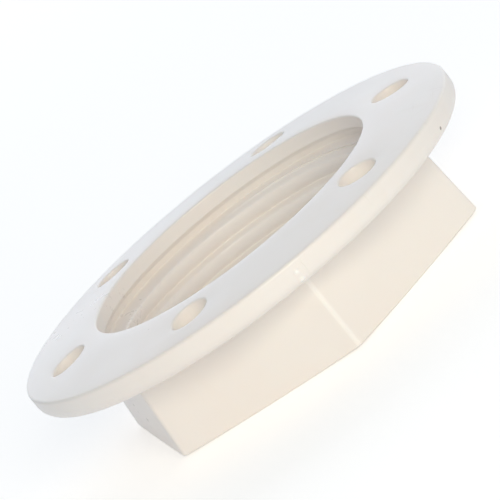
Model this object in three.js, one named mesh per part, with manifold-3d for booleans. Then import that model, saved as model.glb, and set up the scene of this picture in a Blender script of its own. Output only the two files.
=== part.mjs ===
// Threaded toilet flange: a round screw-down disc, a hexagonal wrench body under it, and one
// right-hand internal thread that runs through both. The fitting is a single plastic moulding, so
// it is a single mesh.
//
// Millimetres, +Z up. Z runs along the bore. Z = 0 is the free end of the hexagon, which the
// fitting stands on, and the disc's face looks up.
import * as THREE from "three";
import { mergeVertices } from "three/addons/utils/BufferGeometryUtils.js";
import Module from "manifold-3d";

// Disc. Its face is flat round the mouth of the bore and falls away from there to the rim.
const DISC_RADIUS = 50;
const MOUTH_HEIGHT = 24.5;
const MOUTH_FLAT_RADIUS = 34;
const SCREW_CIRCLE_HEIGHT = 24;
const RIM_HEIGHT = 23;
const UNDERSIDE_HEIGHT = 17.7;
const RIM_TOP_ROUND = 0.8;
const RIM_BOTTOM_ROUND = 2.8;

// Hexagonal wrench body. Its flats spread towards the free end.
const HEX_ACROSS_FLATS = 72;
const HEX_ACROSS_FLATS_AT_DISC = 69.2;
const HEX_CORNER_ROUND = 1.2;
const HEX_END_ROUND = 0.6;
const HEX_END_FLAT_RADIUS = 35.4;
const HEX_END_CORNER_LIFT = 0.4;
const HEX_FOOT_CHAMFER = 1;

// Screw holes, one over the middle of each flat.
const SCREW_COUNT = 6;
const SCREW_CIRCLE_RADIUS = 40;
const SCREW_HOLE_RADIUS = 4;
const SCREW_HOLE_CHAMFER = 0.4;

// Internal thread, about 63 mm by 4 mm pitch. The ridges are steep above and slope away below. A
// plain counterbore and a relief groove lead into it from the disc, and a chamfer from below.
const THREAD_MAJOR_RADIUS = 31.3;
const THREAD_MINOR_RADIUS = 29.6;
const THREAD_PITCH = 4;
const THREAD_RIDGE_WIDTH = 0.6;
const THREAD_ROOT_WIDTH = 0.4;
const THREAD_UPPER_FLANK_HEIGHT = 0.6;
const THREAD_START_ANGLE = THREE.MathUtils.degToRad(-45);
const COUNTERBORE_RADIUS = 31.8;
const COUNTERBORE_DEPTH = 2.9;
const RELIEF_TOP_RADIUS = 33;
const RELIEF_RADIUS = 33.4;
const RELIEF_UPPER_SLOPE_HEIGHT = 0.9;
const RELIEF_WALL_HEIGHT = 1.4;
const RELIEF_LOWER_SLOPE_HEIGHT = 0.8;
const LEAD_IN_RADIUS = 31.8;

// Facets.
const DISC_SEGMENTS = 96;
const BORE_SEGMENTS = 48;
const HOLE_SEGMENTS = 24;
const ROUND_STEPS = 3;
const WELD_DISTANCE = 1e-4;

// How far the cutters run past what they cut, and how far the wrench body runs up into the disc.
const CUT_CLEARANCE = 1;
const JOIN_DEPTH = 2;

const QUARTER_TURN = Math.PI / 2;
const SIXTH_TURN = Math.PI / 3;

const wasm = await Module();
wasm.setup();

// A closed geometry as a manifold-3d solid.
function solidOf(geometry) {
  geometry.deleteAttribute("normal");
  geometry.deleteAttribute("uv");
  const merged = mergeVertices(geometry, WELD_DISTANCE);
  return new wasm.Manifold(
    new wasm.Mesh({
      numProp: 3,
      vertProperties: merged.attributes.position.array,
      triVerts: new Uint32Array(merged.index.array),
    }),
  );
}

// A manifold-3d solid as a geometry.
function geometryOf(solid) {
  const mesh = solid.getMesh();
  const geometry = new THREE.BufferGeometry();
  geometry.setAttribute("position", new THREE.BufferAttribute(mesh.vertProperties, 3));
  geometry.setIndex(new THREE.BufferAttribute(mesh.triVerts, 1));
  geometry.computeVertexNormals();
  return geometry;
}

// A profile of [radius, height] points turned about Z.
function turned(profile, segments) {
  const points = profile.map(([radius, height]) => new THREE.Vector2(radius, height));
  return new THREE.LatheGeometry(points, segments).rotateX(QUARTER_TURN);
}

// [radius, height] points of a round about a centre, from one angle to another.
function roundPoints(centreRadius, centreHeight, round, fromAngle, toAngle) {
  return Array.from({ length: ROUND_STEPS + 1 }, (_, step) => {
    const angle = THREE.MathUtils.lerp(fromAngle, toAngle, step / ROUND_STEPS);
    return [centreRadius + round * Math.cos(angle), centreHeight + round * Math.sin(angle)];
  });
}

// The disc, solid at the middle, with its rounded rim.
function disc() {
  const bottomCentre = [DISC_RADIUS - RIM_BOTTOM_ROUND, UNDERSIDE_HEIGHT + RIM_BOTTOM_ROUND];
  const topCentre = [DISC_RADIUS - RIM_TOP_ROUND, RIM_HEIGHT - RIM_TOP_ROUND];
  return solidOf(
    turned(
      [
        [0, UNDERSIDE_HEIGHT],
        ...roundPoints(...bottomCentre, RIM_BOTTOM_ROUND, -QUARTER_TURN, 0),
        ...roundPoints(...topCentre, RIM_TOP_ROUND, 0, QUARTER_TURN),
        [SCREW_CIRCLE_RADIUS, SCREW_CIRCLE_HEIGHT],
        [MOUTH_FLAT_RADIUS, MOUTH_HEIGHT],
        [0, MOUTH_HEIGHT],
      ],
      DISC_SEGMENTS,
    ),
  );
}

// A hexagon with rounded corners, the corners pointing along X and every 60 degrees.
function hexagon(acrossFlats) {
  const cornerCentre = (acrossFlats / 2 - HEX_CORNER_ROUND) / Math.cos(SIXTH_TURN / 2);
  const shape = new THREE.Shape();
  for (let corner = 0; corner < 6; corner++) {
    const direction = corner * SIXTH_TURN;
    shape.absarc(
      cornerCentre * Math.cos(direction),
      cornerCentre * Math.sin(direction),
      HEX_CORNER_ROUND,
      direction - SIXTH_TURN / 2,
      direction + SIXTH_TURN / 2,
    );
  }
  return shape;
}

// A turned blank that leaves the free end flat in the middle and lifts it at the corners.
function hexEndBlank() {
  const cornerRadius = HEX_ACROSS_FLATS / 2 / Math.cos(SIXTH_TURN / 2);
  const top = UNDERSIDE_HEIGHT + JOIN_DEPTH + CUT_CLEARANCE;
  return solidOf(
    turned(
      [
        [0, 0],
        [HEX_END_FLAT_RADIUS, 0],
        [cornerRadius, HEX_END_CORNER_LIFT],
        [cornerRadius, top],
        [0, top],
      ],
      DISC_SEGMENTS,
    ),
  );
}

// The wrench body, from its rounded free end up into the disc, drawn in towards the disc.
function hexBody() {
  const height = UNDERSIDE_HEIGHT + JOIN_DEPTH;
  const geometry = new THREE.ExtrudeGeometry(hexagon(HEX_ACROSS_FLATS), {
    depth: height - 2 * HEX_END_ROUND,
    curveSegments: ROUND_STEPS,
    bevelThickness: HEX_END_ROUND,
    bevelSize: HEX_END_ROUND,
    bevelOffset: -HEX_END_ROUND,
    bevelSegments: ROUND_STEPS,
  });
  geometry.translate(0, 0, HEX_END_ROUND);
  const position = geometry.attributes.position;
  const narrowing = 1 - HEX_ACROSS_FLATS_AT_DISC / HEX_ACROSS_FLATS;
  for (let i = 0; i < position.count; i++) {
    const scale = 1 - (narrowing * position.getZ(i)) / UNDERSIDE_HEIGHT;
    position.setXY(i, position.getX(i) * scale, position.getY(i) * scale);
  }
  return solidOf(geometry).intersect(hexEndBlank());
}

// The chamfer in the corner where the wrench body meets the disc's underside.
function hexFoot() {
  const geometry = new THREE.ExtrudeGeometry(hexagon(HEX_ACROSS_FLATS_AT_DISC), {
    depth: JOIN_DEPTH,
    curveSegments: ROUND_STEPS,
    bevelThickness: HEX_FOOT_CHAMFER,
    bevelSize: HEX_FOOT_CHAMFER,
    bevelSegments: 1,
  });
  geometry.translate(0, 0, UNDERSIDE_HEIGHT);
  return solidOf(geometry);
}

// What the bore takes out apart from the thread's groove: the minor diameter, the counterbore at
// the mouth with the relief groove under it, and the 45 degree lead-in at the free end.
function boreCore() {
  const wallEnd = MOUTH_HEIGHT - COUNTERBORE_DEPTH;
  const reliefTop = wallEnd - RELIEF_UPPER_SLOPE_HEIGHT;
  const reliefBottom = reliefTop - RELIEF_WALL_HEIGHT;
  return solidOf(
    turned(
      [
        [0, -CUT_CLEARANCE],
        [LEAD_IN_RADIUS + CUT_CLEARANCE, -CUT_CLEARANCE],
        [THREAD_MINOR_RADIUS, LEAD_IN_RADIUS - THREAD_MINOR_RADIUS],
        [THREAD_MINOR_RADIUS, reliefBottom - RELIEF_LOWER_SLOPE_HEIGHT],
        [RELIEF_RADIUS, reliefBottom],
        [RELIEF_TOP_RADIUS, reliefTop],
        [COUNTERBORE_RADIUS, wallEnd],
        [COUNTERBORE_RADIUS, MOUTH_HEIGHT + CUT_CLEARANCE],
        [0, MOUTH_HEIGHT + CUT_CLEARANCE],
      ],
      BORE_SEGMENTS,
    ),
  );
}

// The thread's helix, at the major radius. Its frames hold a swept section upright, with the
// section's x pointing up and its y away from the axis.
class ThreadHelix extends THREE.Curve {
  constructor(startHeight, turns) {
    super();
    this.startHeight = startHeight;
    this.turns = turns;
  }

  angleAt(t) {
    return THREAD_START_ANGLE + t * this.turns * 2 * Math.PI;
  }

  getPoint(t, target = new THREE.Vector3()) {
    const angle = this.angleAt(t);
    return target.set(
      THREAD_MAJOR_RADIUS * Math.cos(angle),
      THREAD_MAJOR_RADIUS * Math.sin(angle),
      this.startHeight + t * this.turns * THREAD_PITCH,
    );
  }

  computeFrenetFrames(segments) {
    const frames = { tangents: [], normals: [], binormals: [] };
    for (let i = 0; i <= segments; i++) {
      const angle = this.angleAt(i / segments);
      frames.tangents.push(new THREE.Vector3(-Math.sin(angle), Math.cos(angle), 0));
      frames.normals.push(new THREE.Vector3(0, 0, 1));
      frames.binormals.push(new THREE.Vector3(Math.cos(angle), Math.sin(angle), 0));
    }
    return frames;
  }
}

// The thread's groove: a lopsided trapezoid swept up the helix, from below the free end to the
// counterbore. Its flanks carry on inwards a little, past the minor diameter.
function threadGroove() {
  const depth = THREAD_MAJOR_RADIUS - THREAD_MINOR_RADIUS;
  const past = CUT_CLEARANCE / 2 / depth;
  const mouthBottom = -(THREAD_PITCH - THREAD_RIDGE_WIDTH) / 2;
  const mouthTop = -mouthBottom;
  const rootBottom = mouthBottom + THREAD_UPPER_FLANK_HEIGHT;
  const rootTop = rootBottom + THREAD_ROOT_WIDTH;
  const section = new THREE.Shape([
    new THREE.Vector2(mouthBottom - (rootBottom - mouthBottom) * past, -depth * (1 + past)),
    new THREE.Vector2(mouthTop, -depth * (1 + past)),
    new THREE.Vector2(mouthTop, -depth),
    new THREE.Vector2(rootTop, 0),
    new THREE.Vector2(rootBottom, 0),
  ]);
  const startHeight = -THREAD_PITCH / 2;
  const turns = (MOUTH_HEIGHT - COUNTERBORE_DEPTH / 2 - startHeight) / THREAD_PITCH;
  const steps = Math.round(turns * BORE_SEGMENTS);
  return solidOf(
    new THREE.ExtrudeGeometry(section, {
      steps,
      extrudePath: new ThreadHelix(startHeight, steps / BORE_SEGMENTS),
    }),
  );
}

// One screw hole's cutter, in its place on the screw circle.
function screwHole(index) {
  const angle = (index + 0.5) * SIXTH_TURN;
  const bottom = UNDERSIDE_HEIGHT - HEX_FOOT_CHAMFER;
  const chamferRadius = SCREW_HOLE_RADIUS + SCREW_HOLE_CHAMFER;
  const geometry = turned(
    [
      [0, bottom],
      [SCREW_HOLE_RADIUS, bottom],
      [SCREW_HOLE_RADIUS, SCREW_CIRCLE_HEIGHT - SCREW_HOLE_CHAMFER],
      [chamferRadius, SCREW_CIRCLE_HEIGHT],
      [chamferRadius, MOUTH_HEIGHT + CUT_CLEARANCE],
      [0, MOUTH_HEIGHT + CUT_CLEARANCE],
    ],
    HOLE_SEGMENTS,
  );
  geometry.translate(
    SCREW_CIRCLE_RADIUS * Math.cos(angle),
    SCREW_CIRCLE_RADIUS * Math.sin(angle),
    0,
  );
  return solidOf(geometry);
}

// The moulding: disc and wrench body joined, then bored, threaded and drilled.
function mouldingGeometry() {
  let moulding = disc().add(hexBody()).add(hexFoot());
  moulding = moulding.subtract(boreCore().add(threadGroove()));
  for (let index = 0; index < SCREW_COUNT; index++) {
    moulding = moulding.subtract(screwHole(index));
  }
  return geometryOf(moulding);
}

function ivoryPlastic() {
  return new THREE.MeshStandardMaterial({ color: 0xeee3d6, roughness: 0.38, metalness: 0 });
}

const flangeBody = new THREE.Mesh(mouldingGeometry(), ivoryPlastic());
flangeBody.name = "flange_body";

const toiletFlange = new THREE.Group();
toiletFlange.add(flangeBody);

export default toiletFlange;
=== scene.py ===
"""Threaded toilet flange: one off-white injection moulding, screw-down disc over a wrench hexagon.

Metres, +Z up along the bore, the hexagon's free end on the floor at Z = 0.
"""
import math

import bmesh
import bpy
from mathutils import Matrix, Vector


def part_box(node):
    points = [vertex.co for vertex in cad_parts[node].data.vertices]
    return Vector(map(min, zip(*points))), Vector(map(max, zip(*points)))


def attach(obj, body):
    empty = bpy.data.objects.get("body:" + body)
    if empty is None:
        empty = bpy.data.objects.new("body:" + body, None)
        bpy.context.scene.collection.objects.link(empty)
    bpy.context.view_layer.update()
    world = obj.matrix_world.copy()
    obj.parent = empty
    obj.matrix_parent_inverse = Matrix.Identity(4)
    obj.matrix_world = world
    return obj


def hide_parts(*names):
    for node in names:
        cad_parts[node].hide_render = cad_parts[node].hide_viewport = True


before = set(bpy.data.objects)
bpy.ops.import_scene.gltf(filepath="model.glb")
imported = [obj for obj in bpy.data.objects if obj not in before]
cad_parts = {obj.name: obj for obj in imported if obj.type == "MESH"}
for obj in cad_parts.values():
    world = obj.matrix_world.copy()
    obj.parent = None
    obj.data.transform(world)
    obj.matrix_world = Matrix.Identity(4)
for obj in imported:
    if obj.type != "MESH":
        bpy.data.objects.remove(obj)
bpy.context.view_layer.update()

# ---------------------------------------------------------------------------------------------
# Camera. A long lens held low over the disc and rolled, so that the fitting leans to the left
# in the view.
# ---------------------------------------------------------------------------------------------
mm = 0.001
body_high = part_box("flange_body")[1]
disc_centre = Vector((0, 0, body_high.z))

camera_azimuth = math.radians(-66.75)
camera_elevation = math.radians(12.9)
camera_roll = math.radians(38.6)
camera_distance = 758 * mm
aim_point = disc_centre + Vector((0.6, -1.25, -6.5)) * mm

towards_camera = Vector((
    math.cos(camera_azimuth) * math.cos(camera_elevation),
    math.sin(camera_azimuth) * math.cos(camera_elevation),
    math.sin(camera_elevation),
))
level_turn = (-towards_camera).to_track_quat("-Z", "Y")
camera_data = bpy.data.cameras.new("camera")
camera_data.sensor_width = 36
camera_data.lens = 288
camera = bpy.data.objects.new("camera", camera_data)
camera.rotation_mode = "QUATERNION"
camera.rotation_quaternion = level_turn @ Matrix.Rotation(-camera_roll, 3, "Z").to_quaternion()
camera.location = aim_point + towards_camera * camera_distance
bpy.context.scene.collection.objects.link(camera)
bpy.context.scene.camera = camera

# ---------------------------------------------------------------------------------------------
# The moulding's outside: disc, rim and wrench hexagon, in one skin. Its section through the
# middle of a flat is spun round the bore, then the rows below the disc are pushed out to a
# hexagon. The mould halves meet at two of the hexagon's corners.
# ---------------------------------------------------------------------------------------------
rim_radius = body_high.x
mouth_height = body_high.z
mouth_radius = 31.8 * mm
mouth_flat_radius = 34 * mm
screw_circle_radius = 40 * mm
screw_circle_height = 24 * mm
rim_height = 23 * mm
underside_height = 17.7 * mm
rim_top_round = 0.7 * mm
rim_bottom_round = 2.8 * mm
mouth_round = 0.4 * mm
skin_top_edge = mouth_height - 0.7 * mm
thread_top_edge = mouth_height - 1 * mm

hex_end_apothem = 36 * mm
hex_top_apothem = 34.6 * mm
hex_corner_round = 1.2 * mm
hex_end_round = 0.6 * mm
hex_foot_round = 1 * mm
hex_end_flat_radius = 35.4 * mm
hex_end_corner_lift = 0.4 * mm

window_inner_radius = 35.2 * mm
window_outer_radius = 45.2 * mm
window_rows = 8
window_columns = 8

sixth_turn = math.pi / 3
columns_per_flat = 40
columns_per_half_corner = 4
columns = 6 * columns_per_flat


def face_height(radius):
    """Height of the disc's face, which falls from the mouth's flat ring to the rim."""
    if radius <= screw_circle_radius:
        share = max(0, (radius - mouth_flat_radius) / (screw_circle_radius - mouth_flat_radius))
        return mouth_height + (screw_circle_height - mouth_height) * share * (0.6 + 0.4 * share)
    share = (radius - screw_circle_radius) / (rim_radius - screw_circle_radius)
    return screw_circle_height + (rim_height - screw_circle_height) * share * (0.9 + 0.1 * share)


def arc(centre_radius, centre_height, round_radius, start, end, steps):
    """Points of a round in the section, from one angle in degrees to another."""
    angles = [math.radians(start + (end - start) * i / steps) for i in range(steps + 1)]
    return [
        (centre_radius + round_radius * math.cos(a), centre_height + round_radius * math.sin(a))
        for a in angles
    ]


def rows_between(start, end, steps):
    """Values spaced evenly from start to end, without the first."""
    return [start + (end - start) * (i + 1) / steps for i in range(steps)]


# The section, from just inside the mouth out over the disc and down to the free end. Each point
# is its radius, its height and how much of a hexagon its row becomes.
section = [(mouth_radius, skin_top_edge, 0)]
section += [
    (radius, height, 0)
    for radius, height in arc(
        mouth_radius + mouth_round, mouth_height - mouth_round, mouth_round, 180, 90, 4
    )
]
section += [(mouth_flat_radius, mouth_height, 0), (window_inner_radius, face_height(window_inner_radius), 0)]
section += [
    (radius, face_height(radius), 0)
    for radius in rows_between(window_inner_radius, window_outer_radius, window_rows)
]
section += [(47.4 * mm, face_height(47.4 * mm), 0)]
section += [
    (radius, height, 0)
    for radius, height in arc(
        rim_radius - rim_top_round, rim_height - rim_top_round, rim_top_round, 84, 0, 5
    )
]
section += [
    (rim_radius, height, 0)
    for height in rows_between(rim_height - rim_top_round, underside_height + rim_bottom_round, 14)
]
section += [
    (radius, height, 0)
    for radius, height in arc(
        rim_radius - rim_bottom_round, underside_height + rim_bottom_round, rim_bottom_round, 0, -90, 14
    )
][1:]
foot_outer = hex_top_apothem + hex_foot_round
section += [(window_outer_radius, underside_height, 0)]
section += [
    (radius, underside_height, (window_outer_radius - radius) / (window_outer_radius - foot_outer))
    for radius in rows_between(window_outer_radius, foot_outer, window_rows)
]
section += [
    (radius, height, 1)
    for radius, height in arc(
        foot_outer, underside_height - hex_foot_round, hex_foot_round, 90, 180, 5
    )
][1:]
section += [
    (hex_end_apothem + (hex_top_apothem - hex_end_apothem) * height / underside_height, height, 1)
    for height in rows_between(underside_height - hex_foot_round, hex_end_round, 6)
]
section += [
    (radius, height, 1)
    for radius, height in arc(
        hex_end_apothem - hex_end_round, hex_end_round, hex_end_round, 0, -90, 5
    )
][1:]
section += [(34.6 * mm, 0, 0.7), (33.4 * mm, 0, 0), (32.4 * mm, 0, 0)]

skin = bmesh.new()
hexagon_share = skin.verts.layers.float.new("hexagon_share")
previous = None
for radius, height, share in section:
    point = skin.verts.new((radius, 0, height))
    point[hexagon_share] = share
    if previous:
        skin.edges.new((previous, point))
    previous = point
bmesh.ops.spin(
    skin,
    geom=skin.verts[:] + skin.edges[:],
    cent=(0, 0, 0),
    axis=(0, 0, 1),
    dvec=(0, 0, 0),
    angle=2 * math.pi,
    steps=columns,
    use_merge=True,
)


def spoke_angle(column):
    """Angle of a column. Columns crowd together at the hexagon's rounded corners."""
    flat, step = divmod(column, columns_per_flat)
    corner_centre = (hex_end_apothem - hex_corner_round) / math.cos(sixth_turn / 2)
    corner_half = math.atan2(
        hex_corner_round * math.sin(sixth_turn / 2),
        corner_centre + hex_corner_round * math.cos(sixth_turn / 2),
    )
    step_back = columns_per_flat - step
    if step <= columns_per_half_corner:
        turn = corner_half * step / columns_per_half_corner
    elif step_back <= columns_per_half_corner:
        turn = sixth_turn - corner_half * step_back / columns_per_half_corner
    else:
        share = (step - columns_per_half_corner) / (columns_per_flat - 2 * columns_per_half_corner)
        turn = corner_half + (sixth_turn - 2 * corner_half) * share
    return flat * sixth_turn + turn


def hexagon_radius(apothem, angle):
    """Distance from the axis to a round-cornered hexagon with a corner at angle 0."""
    from_corner = (angle + sixth_turn / 2) % sixth_turn - sixth_turn / 2
    corner_centre = (apothem - hex_corner_round) / math.cos(sixth_turn / 2)
    sideways = corner_centre * math.sin(from_corner)
    corner_half = math.atan2(
        hex_corner_round * math.sin(sixth_turn / 2),
        corner_centre + hex_corner_round * math.cos(sixth_turn / 2),
    )
    if abs(from_corner) < corner_half:
        return corner_centre * math.cos(from_corner) + math.sqrt(hex_corner_round**2 - sideways**2)
    return apothem / math.cos(sixth_turn / 2 - abs(from_corner))


hex_corner_radius = hexagon_radius(hex_end_apothem, 0)
for vertex in skin.verts:
    radius = math.hypot(vertex.co.x, vertex.co.y)
    column = round(math.atan2(vertex.co.y, vertex.co.x) / (2 * math.pi) * columns) % columns
    angle = spoke_angle(column)
    share = vertex[hexagon_share]
    reach = radius + share * (hexagon_radius(radius, angle) - radius)
    vertex.co.x = reach * math.cos(angle)
    vertex.co.y = reach * math.sin(angle)
    if share and vertex.co.z < underside_height / 2:
        corner_share = max(0, (reach - hex_end_flat_radius) / (hex_corner_radius - hex_end_flat_radius))
        fade = 1 - vertex.co.z / (underside_height / 2)
        vertex.co.z += hex_end_corner_lift * corner_share * fade

# ---------------------------------------------------------------------------------------------
# Screw holes: six plain holes through the disc, over the middles of the flats, with their edges
# broken. Each takes the place of a patch of the face and of the underside.
# ---------------------------------------------------------------------------------------------
screw_hole_radius = 4 * mm
screw_hole_top_round = 0.45 * mm
screw_hole_bottom_round = 0.2 * mm
bridging_gap = 1 * mm


def patch_edge(bm, hole_angle, on_face):
    """Takes out the faces round one hole on the face or the underside. Returns the patch's edge."""
    gone = []
    for face in bm.faces:
        centre = face.calc_center_median()
        radius = math.hypot(centre.x, centre.y)
        turn = (math.atan2(centre.y, centre.x) - hole_angle + math.pi) % (2 * math.pi) - math.pi
        half_width = spoke_angle(columns_per_flat // 2 + window_columns) - sixth_turn / 2
        if on_face:
            inside = window_inner_radius < radius < window_outer_radius and abs(face.normal.z) > 0.9
            inside = inside and centre.z > rim_height
        else:
            inside = radius < window_outer_radius and abs(centre.z - underside_height) < 1e-5
        if inside and abs(turn) < half_width:
            gone.append(face)
    kept_out = set(gone)
    edge = [
        e for face in gone for e in face.edges
        if sum(f in kept_out for f in e.link_faces) == 1
    ]
    bmesh.ops.delete(bm, geom=gone, context="FACES")
    return edge


def carry(bm, edges, move):
    """Extrudes a loop of edges once and moves its new points. Returns the new loop's edges."""
    made = bmesh.ops.extrude_edge_only(bm, edges=edges)["geom"]
    for vertex in made:
        if isinstance(vertex, bmesh.types.BMVert):
            vertex.co = move(vertex.co)
    fresh = {v for v in made if isinstance(v, bmesh.types.BMVert)}
    return [e for e in made if isinstance(e, bmesh.types.BMEdge) and set(e.verts) <= fresh]


def around(axis_point, radius, height):
    """A move that puts a point at a distance from a hole's axis, in its own direction."""
    def move(co):
        out = Vector((co.x - axis_point.x, co.y - axis_point.y, 0)).normalized() * radius
        level = height(co) if callable(height) else height
        return Vector((axis_point.x + out.x, axis_point.y + out.y, level))
    return move


skin.normal_update()
for hole in range(6):
    hole_angle = (hole + 0.5) * sixth_turn
    hole_axis = Vector((math.cos(hole_angle), math.sin(hole_angle), 0)) * screw_circle_radius
    loops = []
    for on_face in (True, False):
        edge = patch_edge(skin, hole_angle, on_face)
        edge_round = screw_hole_top_round if on_face else screw_hole_bottom_round
        made = bmesh.ops.create_circle(
            skin,
            cap_ends=False,
            segments=len(edge),
            radius=screw_hole_radius + edge_round,
            matrix=Matrix.Translation(hole_axis) @ Matrix.Rotation(hole_angle, 4, "Z"),
        )
        for vertex in made["verts"]:
            radius = math.hypot(vertex.co.x, vertex.co.y)
            vertex.co.z = face_height(radius) if on_face else underside_height
        circle = list(dict.fromkeys(e for v in made["verts"] for e in v.link_edges))
        # The circle stands off the surface while it is bridged, because bridging two loops in one
        # plane can join them the wrong way round and close the hole.
        side = -1 if on_face else 1
        bmesh.ops.translate(skin, verts=made["verts"], vec=(0, 0, -side * bridging_gap))
        bmesh.ops.bridge_loops(skin, edges=edge + circle)
        bmesh.ops.translate(skin, verts=made["verts"], vec=(0, 0, side * bridging_gap))
        steps = 5 if on_face else 2
        for step in range(1, steps + 1):
            turn = math.pi / 2 * step / steps
            lift = edge_round * (1 - math.cos(turn)) - edge_round * (1 - math.cos(turn - math.pi / 2 / steps))
            circle = carry(skin, circle, around(
                hole_axis,
                screw_hole_radius + edge_round * (1 - math.sin(turn)),
                lambda co, lift=lift: co.z + side * lift,
            ))
        if on_face:
            circle = carry(skin, circle, around(
                hole_axis, screw_hole_radius, rim_height - screw_hole_top_round,
            ))
        loops.append(circle)
    bmesh.ops.bridge_loops(skin, edges=loops[0] + loops[1])

# ---------------------------------------------------------------------------------------------
# The bore and its internal thread: right-hand, 4 mm pitch, moulded with the rest. The ridges are
# steep above and slope away below. A plain counterbore with a relief groove under it leads in from
# the disc, a chamfer from the free end. One turn is wound, repeated up the bore, trimmed level and
# stitched to the outside.
# ---------------------------------------------------------------------------------------------
thread_root_radius = 31.3 * mm
thread_crest_radius = 29.6 * mm
thread_pitch = 4 * mm
thread_points = 36
thread_columns = 216
thread_start = math.radians(-45)
lead_in_radius = 31.8 * mm
relief_top_radius = 33 * mm
relief_radius = 33.4 * mm
counterbore_end = mouth_height - 2.9 * mm
relief_top = counterbore_end - 0.9 * mm
relief_bottom = relief_top - 1.4 * mm
relief_end = relief_bottom - 0.8 * mm


def sharp_thread_radius(share):
    """Radius of the thread at a share of the pitch, counted up from the middle of a ridge."""
    share = share % 1
    if share < 0.07 or share > 0.93:
        depth = 0
    elif share < 0.28:
        rise = (share - 0.07) / 0.21
        depth = rise * rise * (3 - 2 * rise)
    else:
        fall = (0.93 - share) / 0.65
        depth = 1 - (1 - fall**1.6) ** 1.15
    return thread_crest_radius + (thread_root_radius - thread_crest_radius) * depth


def sharp_core_radius(height):
    """Radius of the plain bore: counterbore, relief groove, minor diameter and lead-in chamfer."""
    if height > counterbore_end:
        return mouth_radius
    if height > relief_top:
        slope = (counterbore_end - height) / (counterbore_end - relief_top)
        return mouth_radius + (relief_top_radius - mouth_radius) * slope
    if height > relief_bottom:
        slope = (relief_top - height) / (relief_top - relief_bottom)
        return relief_top_radius + (relief_radius - relief_top_radius) * slope
    if height > relief_end:
        slope = (height - relief_end) / (relief_bottom - relief_end)
        return thread_crest_radius + (relief_radius - thread_crest_radius) * slope
    return max(thread_crest_radius, lead_in_radius - height)


def thread_radius(share):
    """The thread's radius with its corners rounded."""
    return sum(sharp_thread_radius(share + step * 0.015) for step in range(-4, 5)) / 9


def core_radius(height):
    """The plain bore's radius with its corners rounded."""
    return sum(sharp_core_radius(height + step * 0.06 * mm) for step in range(-3, 4)) / 7


thread = bmesh.new()
previous = None
for point in range(thread_points + 1):
    share = point / thread_points
    vertex = thread.verts.new((thread_radius(share), 0, (share - 2) * thread_pitch))
    if previous:
        thread.edges.new((previous, vertex))
    previous = vertex
bmesh.ops.rotate(thread, verts=thread.verts[:], cent=(0, 0, 0), matrix=Matrix.Rotation(thread_start, 3, "Z"))
bmesh.ops.spin(
    thread,
    geom=thread.verts[:] + thread.edges[:],
    cent=(0, 0, 0),
    axis=(0, 0, 1),
    dvec=(0, 0, thread_pitch / thread_columns),
    angle=2 * math.pi,
    steps=thread_columns,
)
first_turn = thread.verts[:] + thread.edges[:] + thread.faces[:]
for turn in range(1, math.ceil(mouth_height / thread_pitch) + 3):
    copy = bmesh.ops.duplicate(thread, geom=first_turn)["geom"]
    moved = [v for v in copy if isinstance(v, bmesh.types.BMVert)]
    bmesh.ops.translate(thread, verts=moved, vec=(0, 0, turn * thread_pitch))
bmesh.ops.remove_doubles(thread, verts=thread.verts[:], dist=0.002 * mm)
for height, keep_below in ((thread_top_edge, True), (0, False)):
    bmesh.ops.bisect_plane(
        thread,
        geom=thread.verts[:] + thread.edges[:] + thread.faces[:],
        dist=1e-7,
        plane_co=(0, 0, height),
        plane_no=(0, 0, 1),
        clear_outer=keep_below,
        clear_inner=not keep_below,
    )
for vertex in thread.verts:
    radius = math.hypot(vertex.co.x, vertex.co.y)
    reach = max(radius, core_radius(vertex.co.z))
    vertex.co.x *= reach / radius
    vertex.co.y *= reach / radius

thread_mesh = bpy.data.meshes.new("thread")
thread.to_mesh(thread_mesh)
thread.free()
skin.from_mesh(thread_mesh)
bpy.data.meshes.remove(thread_mesh)
level_slack = 0.001 * mm
for thread_end, skin_end in ((thread_top_edge, skin_top_edge), (0, 0)):
    open_edges = [
        e for e in skin.edges
        if e.is_boundary and all(
            min(abs(v.co.z - thread_end), abs(v.co.z - skin_end)) < level_slack for v in e.verts
        )
    ]
    bmesh.ops.bridge_loops(skin, edges=open_edges)

# ---------------------------------------------------------------------------------------------
# Parting line and gate mark. The mould halves meet at two corners of the hexagon and leave a fine
# flash line there. Two small nubs on the rim are where the runner was broken off.
# ---------------------------------------------------------------------------------------------
flash_height = 0.05 * mm
parting_angle = math.radians(-60)
gate_angle = math.radians(-62)
gate_height = 20 * mm
gate_reach_up = 2 * mm
gate_reach_round = math.radians(2.2)
nubs = []
for nub_height, nub_width, nub_rise in ((20.7 * mm, 0.8 * mm, 0.34 * mm), (18.8 * mm, 1 * mm, 0.4 * mm)):
    below_side = max(0, underside_height + rim_bottom_round - nub_height)
    reach = rim_radius - rim_bottom_round + math.sqrt(rim_bottom_round**2 - below_side**2)
    foot = Vector((reach * math.cos(gate_angle), reach * math.sin(gate_angle), nub_height))
    nubs.append((foot, nub_width, nub_rise))
gate_faces = []
for face in skin.faces:
    centre = face.calc_center_median()
    on_rim = math.hypot(centre.x, centre.y) > rim_radius - 1.6 * mm
    on_rim = on_rim and abs(centre.z - gate_height) < gate_reach_up
    if on_rim and abs(math.atan2(centre.y, centre.x) - gate_angle) < gate_reach_round:
        gate_faces.append(face)
gate_edges = list(dict.fromkeys(e for face in gate_faces for e in face.edges))
bmesh.ops.subdivide_edges(skin, edges=gate_edges, cuts=5, use_grid_fill=True)
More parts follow.
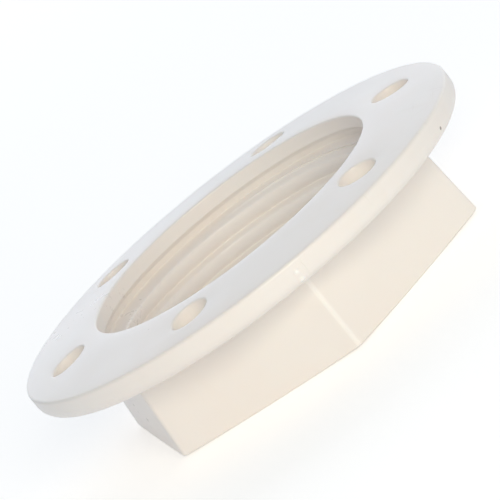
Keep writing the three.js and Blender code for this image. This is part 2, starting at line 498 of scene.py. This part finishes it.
for vertex in skin.verts:
    radius = math.hypot(vertex.co.x, vertex.co.y)
    angle = math.atan2(vertex.co.y, vertex.co.x)
    parting_turn = (angle - parting_angle + math.pi / 2) % math.pi - math.pi / 2
    outside = radius > rim_radius - rim_bottom_round or (radius > 38 * mm and vertex.co.z < 16 * mm)
    if not outside:
        continue
    push = 0
    if abs(parting_turn) < 1e-4 and 1 * mm < vertex.co.z < rim_height - 0.3 * mm:
        push += flash_height
    for foot, nub_width, nub_rise in nubs:
        distance = (vertex.co - foot).length / nub_width
        push += nub_rise * max(0, 1 - distance * distance) ** 2
    vertex.co.x *= 1 + push / radius
    vertex.co.y *= 1 + push / radius

bmesh.ops.recalc_face_normals(skin, faces=skin.faces[:])
for face in skin.faces:
    face.smooth = True
flange_mesh = bpy.data.meshes.new("toilet_flange")
skin.to_mesh(flange_mesh)
skin.free()
flange_mesh.set_sharp_from_angle(angle=math.radians(50))
flange = bpy.data.objects.new("toilet_flange", flange_mesh)
bpy.context.scene.collection.objects.link(flange)
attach(flange, "root")
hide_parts("flange_body")

# ---------------------------------------------------------------------------------------------
# Ivory plastic: satin injection moulding, the same right through. It has faint flow mottling from
# the gate, a slightly uneven gloss, a fine pebble from the mould and light scuffs from handling.
# ---------------------------------------------------------------------------------------------
ivory = (0.89, 0.83, 0.78, 1)
ivory_cool = (0.89, 0.845, 0.80, 1)
ivory_aged = (0.86, 0.785, 0.71, 1)
grime = (0.42, 0.36, 0.30, 1)
# Pale colour for the painted highlights on the gate nubs and along the hexagon's flash line.
painted_highlight_white = (0.97, 0.95, 0.91, 1)
speck_colour = (0.16, 0.12, 0.09, 1)
gate_point = Vector((math.cos(gate_angle), math.sin(gate_angle), 0)) * rim_radius
gate_point.z = gate_height
speck_angle = math.radians(-11)
speck_point = Vector((math.cos(speck_angle), math.sin(speck_angle), 0)) * rim_radius
speck_point.z = 19.6 * mm

plastic = bpy.data.materials.new("ivory_plastic")
plastic.use_nodes = True
tree = plastic.node_tree
shader = tree.nodes["Principled BSDF"]


def node(kind, inputs=(), **settings):
    """Adds a node. An input takes a number, a vector or another node's output."""
    made = tree.nodes.new(kind)
    for name, value in settings.items():
        setattr(made, name, value)
    for name, value in dict(inputs).items():
        if isinstance(value, bpy.types.NodeSocket):
            tree.links.new(value, made.inputs[name])
        else:
            made.inputs[name].default_value = value
    return made


def maths(operation, first, second=0.0, clamp=False):
    """A maths node's result."""
    return node("ShaderNodeMath", {0: first, 1: second}, operation=operation, use_clamp=clamp).outputs[0]


def ramp(value, low, high, to_low=0.0, to_high=1.0):
    """A value's smooth step from one range to another."""
    inputs = {"Value": value, "From Min": low, "From Max": high, "To Min": to_low, "To Max": to_high}
    return node("ShaderNodeMapRange", inputs, interpolation_type="SMOOTHSTEP").outputs["Result"]


def noise(place, scale, detail=3.0, rough=0.5):
    """A noise texture's value about the object."""
    inputs = {"Vector": place, "Scale": scale, "Detail": detail, "Roughness": rough}
    return node("ShaderNodeTexNoise", inputs).outputs["Fac"]


def blend_colour(factor, first, second):
    """Two colours mixed by a factor."""
    made = node("ShaderNodeMix", data_type="RGBA")
    for socket, value in ((made.inputs[0], factor), (made.inputs[6], first), (made.inputs[7], second)):
        if isinstance(value, bpy.types.NodeSocket):
            tree.links.new(value, socket)
        else:
            socket.default_value = value
    return made.outputs[2]


place = node("ShaderNodeTexCoord").outputs["Object"]
split = node("ShaderNodeSeparateXYZ", {"Vector": place})
from_axis = node(
    "ShaderNodeVectorMath",
    {0: node("ShaderNodeCombineXYZ", {"X": split.outputs["X"], "Y": split.outputs["Y"]}).outputs[0]},
    operation="LENGTH",
).outputs["Value"]
bearing = maths("ARCTAN2", split.outputs["Y"], split.outputs["X"])
height = split.outputs["Z"]
from_gate = node("ShaderNodeVectorMath", {0: place, 1: gate_point}, operation="DISTANCE").outputs["Value"]
from_speck = node("ShaderNodeVectorMath", {0: place, 1: speck_point}, operation="DISTANCE").outputs["Value"]

# Mottling: soft patches all over, and fainter waves of flow that spread out from the gate.
flow_place = node("ShaderNodeCombineXYZ", {
    "X": maths("MULTIPLY", from_gate, 4.0), "Y": maths("MULTIPLY", split.outputs["X"], 0.3), "Z": height,
}).outputs[0]
mottle = noise(place, 38, 4, 0.55)
flow = noise(flow_place, 60, 3, 0.5)
base_colour = blend_colour(ramp(mottle, 0.35, 0.68), ivory, ivory_cool)
base_colour = blend_colour(ramp(flow, 0.5, 0.75, 0, 0.15), base_colour, ivory_aged)

# Rubbed edges of the rim catch a trace of dirt, and one speck is moulded in near the rim's foot.
edge_band = maths("MULTIPLY", ramp(from_axis, 49.2 * mm, 49.9 * mm), ramp(height, 22.2 * mm, 22.8 * mm))
edge_dirt = maths("MULTIPLY", edge_band, ramp(noise(place, 220, 5, 0.65), 0.5, 0.8, 0, 0.1))
base_colour = blend_colour(edge_dirt, base_colour, grime)
ragged_speck = maths("ADD", from_speck, maths("MULTIPLY", noise(place, 2500), 0.3 * mm))
speck_mask = ramp(ragged_speck, 0.42 * mm, 0.62 * mm, 0.75, 0)
base_colour = blend_colour(speck_mask, base_colour, speck_colour)

# Scuffs: thin scratches in three directions, in patches. They are on one side only, and stronger on
# the disc's face than on the flats.
scratch_layers = []
for slant, stretch, scale in ((0.4, 40, 60), (1.7, 45, 75), (2.6, 35, 50)):
    turned_place = node("ShaderNodeMapping", {
        "Vector": place, "Rotation": (0, 0, slant), "Scale": (1, 1 / stretch, 1),
    }, vector_type="TEXTURE").outputs[0]
    scratch_layers.append(ramp(noise(turned_place, scale, 2, 0.6), 0.66, 0.73))
scratches = maths("MAXIMUM", maths("MAXIMUM", scratch_layers[0], scratch_layers[1]), scratch_layers[2])
worn_side = ramp(maths("ABSOLUTE", maths("ADD", bearing, math.radians(20))), 0.1, 0.9, 1, 0)
worn_patch = ramp(noise(place, 70, 3, 0.6), 0.45, 0.65)
worn_face = ramp(height, 20 * mm, 22.6 * mm, 0.2, 1)
worn = maths("MULTIPLY", maths("MULTIPLY", worn_side, worn_patch), worn_face)
scuff = maths("MULTIPLY", scratches, worn)
base_colour = blend_colour(maths("MULTIPLY", scuff, 0.16), base_colour, grime)

# The nubs are painted paler, a painted highlight that stands in for their glints, and are glossier. The
# hexagon's flash line is
# # painted paler too, a painted highlight along that corner.
on_nub = 0.0
for foot, nub_width, nub_rise in nubs:
    from_nub = node("ShaderNodeVectorMath", {0: place, 1: foot}, operation="DISTANCE").outputs["Value"]
    on_nub = maths("MAXIMUM", ramp(from_nub, 0.35 * nub_width, 0.85 * nub_width, 1, 0), on_nub)
across_parting = Vector((-math.sin(parting_angle), math.cos(parting_angle), 0))
from_parting = maths("ABSOLUTE", node(
    "ShaderNodeVectorMath", {0: place, 1: across_parting}, operation="DOT_PRODUCT",
).outputs["Value"])
# Painted highlight along the hexagon's corners at the parting line.
flash_line_highlight = ramp(from_parting, 0.25 * mm, 0.7 * mm, 0.45, 0)
flash_line_highlight = maths("MULTIPLY", flash_line_highlight, ramp(from_axis, 37 * mm, 38 * mm))
flash_line_highlight = maths("MULTIPLY", flash_line_highlight, ramp(height, 16.5 * mm, 17.5 * mm, 1, 0))
base_colour = blend_colour(maths("MAXIMUM", on_nub, flash_line_highlight), base_colour, painted_highlight_white)
tree.links.new(base_colour, shader.inputs["Base Color"])

gloss_drift = ramp(noise(place, 24, 3, 0.5), 0.3, 0.7, 0.28, 0.36)
gloss_fine = maths("MULTIPLY", maths("SUBTRACT", noise(place, 420, 3, 0.6), 0.5), 0.08)
roughness = maths("ADD", gloss_drift, gloss_fine)
roughness = maths("ADD", roughness, maths("MULTIPLY", scuff, 0.18), clamp=True)
roughness = maths("SUBTRACT", roughness, maths("MULTIPLY", on_nub, 0.14))
tree.links.new(roughness, shader.inputs["Roughness"])

# Relief: slow waviness over thick sections, the mould's pebble, and the scratches' own grooves.
waviness = maths("MULTIPLY", noise(place, 55, 2, 0.4), 0.05 * mm)
pebble = maths("MULTIPLY", noise(place, 1300, 3, 0.5), 0.006 * mm)
groove = maths("MULTIPLY", scuff, -0.012 * mm)
relief = maths("ADD", maths("ADD", waviness, pebble), groove)
bump = node("ShaderNodeBump", {"Height": relief, "Strength": 1.0, "Distance": 1.0})
tree.links.new(bump.outputs["Normal"], shader.inputs["Normal"])
shader.inputs["IOR"].default_value = 1.49
shader.inputs["Subsurface Weight"].default_value = 0.08
shader.inputs["Subsurface Radius"].default_value = (1.0, 0.7, 0.45)
shader.inputs["Subsurface Scale"].default_value = 1.2 * mm
flange.data.materials.append(plastic)

# ---------------------------------------------------------------------------------------------
# Floor and light: a white table, a cool even surround, one warm soft lamp beside the camera and a
# tall white card behind the fitting for its face to reflect. The table glows faintly, and less as a
# light on the fitting than where it is seen, so that it looks white without lighting the rim too much.
# ---------------------------------------------------------------------------------------------
floor_bm = bmesh.new()
bmesh.ops.create_grid(floor_bm, x_segments=1, y_segments=1, size=4)
floor_mesh = bpy.data.meshes.new("floor")
floor_bm.to_mesh(floor_mesh)
floor_bm.free()
floor = bpy.data.objects.new("floor", floor_mesh)
bpy.context.scene.collection.objects.link(floor)
floor_material = bpy.data.materials.new("floor")
floor_material.use_nodes = True
floor_shader = floor_material.node_tree.nodes["Principled BSDF"]
floor_glow = floor_material.node_tree.nodes.new("ShaderNodeMapRange")
floor_glow.inputs["To Min"].default_value = 0.17
floor_glow.inputs["To Max"].default_value = 0.34
seen_directly = floor_material.node_tree.nodes.new("ShaderNodeLightPath")
floor_material.node_tree.links.new(seen_directly.outputs["Is Camera Ray"], floor_glow.inputs["Value"])
floor_material.node_tree.links.new(floor_glow.outputs["Result"], floor_shader.inputs["Emission Strength"])
floor_shader.inputs["Base Color"].default_value = (0.95, 0.95, 0.95, 1)
floor_shader.inputs["Roughness"].default_value = 0.9
floor_shader.inputs["Emission Color"].default_value = (1, 0.97, 0.92, 1)
floor.data.materials.append(floor_material)

world = bpy.data.worlds.new("world")
world.use_nodes = True
world.node_tree.nodes["Background"].inputs["Color"].default_value = (0.88, 0.95, 1.04, 1)
world.node_tree.nodes["Background"].inputs["Strength"].default_value = 0.5
bpy.context.scene.world = world
bpy.context.scene.view_settings.view_transform = "Standard"


def softbox(name, bearing_degrees, height_degrees, distance, width, tall, brightness, colour):
    """A rectangular area light at a bearing, a height and a distance, turned to the disc."""
    data = bpy.data.lights.new(name, "AREA")
    data.shape = "RECTANGLE"
    data.size = width
    data.size_y = tall
    data.energy = brightness * math.pi * width * tall
    data.color = colour
    lamp = bpy.data.objects.new(name, data)
    around_axis, above = math.radians(bearing_degrees), math.radians(height_degrees)
    out = Vector((
        math.cos(around_axis) * math.cos(above), math.sin(around_axis) * math.cos(above), math.sin(above),
    ))
    lamp.location = disc_centre + out * distance
    lamp.rotation_mode = "QUATERNION"
    lamp.rotation_quaternion = (-out).to_track_quat("-Z", "Y")
    bpy.context.scene.collection.objects.link(lamp)


softbox("front_lamp", -60, 19, 1.1, 0.45, 0.45, 7.9, (1, 0.915, 0.73))
softbox("back_card", 97, 21, 1.6, 2.8, 1.2, 1.02, (0.94, 0.97, 1.03))
